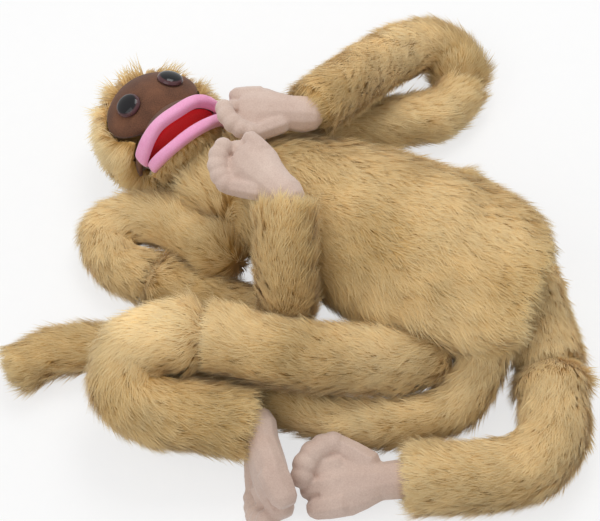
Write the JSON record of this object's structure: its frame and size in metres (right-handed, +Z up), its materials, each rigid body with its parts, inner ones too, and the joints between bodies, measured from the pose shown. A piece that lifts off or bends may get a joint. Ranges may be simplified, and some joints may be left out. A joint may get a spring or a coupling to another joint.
{
  "type": "ventriloquist puppet",
  "caption": "Plush monkey hand puppet lying on its back, golden fur, long stuffed arms, legs and tail, brown velour face, moving mouth with pink lips and pink mitts",
  "frame": {"origin": "on the surface that the puppet lies on, under the middle of the torso", "axes": "+X from the head to the hem of the torso, +Y to the left side of the puppet, +Z up out of its belly"},
  "size_m": [0.572, 0.5953, 0.1705],
  "materials": {
    "golden_fur": "long pile fur",
    "polyester_fill": "loose fibre",
    "lining_cloth": "woven",
    "hem_tape": "woven tape",
    "head_foam": "open foam",
    "face_velour": "short velour",
    "muzzle_velour": "short velour",
    "lip_fleece": "fleece",
    "mouth_board": "plain",
    "mouth_felt": "felt",
    "eye_gloss": "polished",
    "washer_plastic": "moulded",
    "pocket_cloth": "woven",
    "hinge_tape": "woven tape",
    "mitt_fleece": "fleece"
  },
  "bodies": {
    "torso": {"torso_cover": "golden_fur", "torso_stuffing": "polyester_fill", "sleeve_lining": "lining_cloth", "hem_binding": "hem_tape"},
    "head": {"head_hood": "golden_fur", "head_foam": "head_foam", "face_panel": "face_velour", "muzzle_panel": "muzzle_velour", "upper_lip": "lip_fleece", "upper_mouth_board": "mouth_board", "palate_felt": "mouth_felt", "left_eye": "eye_gloss", "right_eye": "eye_gloss", "left_eye_washer": "washer_plastic", "right_eye_washer": "washer_plastic", "finger_pocket": "pocket_cloth", "mouth_hinge_tape": "hinge_tape"},
    "jaw": {"lower_mouth_board": "mouth_board", "tongue_felt": "mouth_felt", "lower_lip": "lip_fleece", "chin_cover": "golden_fur", "thumb_pocket": "pocket_cloth"},
    "right_upper_arm": {"right_upper_arm_cover": "golden_fur", "right_upper_arm_stuffing": "polyester_fill"},
    "right_forearm": {"right_forearm_cover": "golden_fur", "right_forearm_stuffing": "polyester_fill"},
    "left_upper_arm": {"left_upper_arm_cover": "golden_fur", "left_upper_arm_stuffing": "polyester_fill"},
    "left_forearm": {"left_forearm_cover": "golden_fur", "left_forearm_stuffing": "polyester_fill"},
    "right_thigh": {"right_thigh_cover": "golden_fur", "right_thigh_stuffing": "polyester_fill"},
    "right_shin": {"right_shin_cover": "golden_fur", "right_shin_stuffing": "polyester_fill"},
    "left_thigh": {"left_thigh_cover": "golden_fur", "left_thigh_stuffing": "polyester_fill"},
    "left_shin": {"left_shin_cover": "golden_fur", "left_shin_stuffing": "polyester_fill"},
    "tail_base": {"tail_base_cover": "golden_fur", "tail_base_stuffing": "polyester_fill"},
    "tail_tip": {"tail_tip_cover": "golden_fur", "tail_tip_stuffing": "polyester_fill"},
    "right_hand_body": {"right_hand": "mitt_fleece"},
    "left_hand_body": {"left_hand": "mitt_fleece"},
    "right_foot_body": {"right_foot": "mitt_fleece"},
    "left_foot_body": {"left_foot": "mitt_fleece"}
  },
  "joints": [
    {"name": "neck", "type": "hinge", "parent": "torso", "child": "head", "pos_m": [-0.1935, -0.001, 0.047], "axis": [0, 0, 1], "range_deg": [0, 10]},
    {"name": "jaw", "type": "hinge", "parent": "head", "child": "jaw", "pos_m": [-0.2351, 0.023, 0.0595], "axis": [0.5, 0.866, 0], "range_deg": [-12, 4]},
    {"name": "right_shoulder", "type": "hinge", "parent": "torso", "child": "right_upper_arm", "pos_m": [-0.15, -0.076, 0.052], "axis": [0.4983, -0.867, 0], "range_deg": [0, 12]},
    {"name": "right_elbow", "type": "hinge", "parent": "right_upper_arm", "child": "right_forearm", "pos_m": [-0.2068, -0.112, 0.0225], "axis": [0, -1, 0], "range_deg": [0, 6]},
    {"name": "right_wrist", "type": "hinge", "parent": "right_forearm", "child": "right_hand_body", "pos_m": [-0.0931, -0.0518, 0.1522], "axis": [0.5935, 0.8048, 0], "range_deg": [0, 25]},
    {"name": "left_shoulder", "type": "hinge", "parent": "torso", "child": "left_upper_arm", "pos_m": [-0.15, 0.077, 0.05], "axis": [0, 0, 1], "range_deg": [0, 8]},
    {"name": "left_elbow", "type": "hinge", "parent": "left_upper_arm", "child": "left_forearm", "pos_m": [-0.0003, 0.2369, 0.0287], "axis": [-0.8, 0.6, 0], "range_deg": [0, 30]},
    {"name": "left_wrist", "type": "hinge", "parent": "left_forearm", "child": "left_hand_body", "pos_m": [-0.1151, 0.0657, 0.1249], "axis": [-0.2496, 0.9684, 0], "range_deg": [0, 25]},
    {"name": "right_hip", "type": "hinge", "parent": "torso", "child": "right_thigh", "pos_m": [0.076, -0.106, 0.044], "axis": [-0.3312, 0.9435, 0], "range_deg": [0, 22]},
    {"name": "right_knee", "type": "hinge", "parent": "right_thigh", "child": "right_shin", "pos_m": [-0.1343, -0.1925, 0.0874], "axis": [0, 0, -1], "range_deg": [0, 25]},
    {"name": "right_ankle", "type": "hinge", "parent": "right_shin", "child": "right_foot_body", "pos_m": [-0.0515, -0.243, 0.0478], "axis": [-0.7418, -0.6706, 0], "range_deg": [0, 20]},
    {"name": "left_hip", "type": "hinge", "parent": "torso", "child": "left_thigh", "pos_m": [0.04, 0.07, 0.048], "axis": [0, 0, 1], "range_deg": [0, 12]},
    {"name": "left_knee", "type": "hinge", "parent": "left_thigh", "child": "left_shin", "pos_m": [0.1952, -0.0882, 0.0296], "axis": [0, 0, 1], "range_deg": [0, 40]},
    {"name": "left_ankle", "type": "hinge", "parent": "left_shin", "child": "left_foot_body", "pos_m": [0.0897, -0.2422, 0.0296], "axis": [-0.3102, 0.9507, 0], "range_deg": [0, 20]},
    {"name": "tail_root", "type": "hinge", "parent": "torso", "child": "tail_base", "pos_m": [0.128, -0.086, 0.066], "axis": [0, 0, 1], "range_deg": [-2, 1.5]},
    {"name": "tail_middle", "type": "hinge", "parent": "tail_base", "child": "tail_tip", "pos_m": [-0.1827, -0.1971, 0.0207], "axis": [0, 0, 1], "range_deg": [-30, 20]}
  ]
}
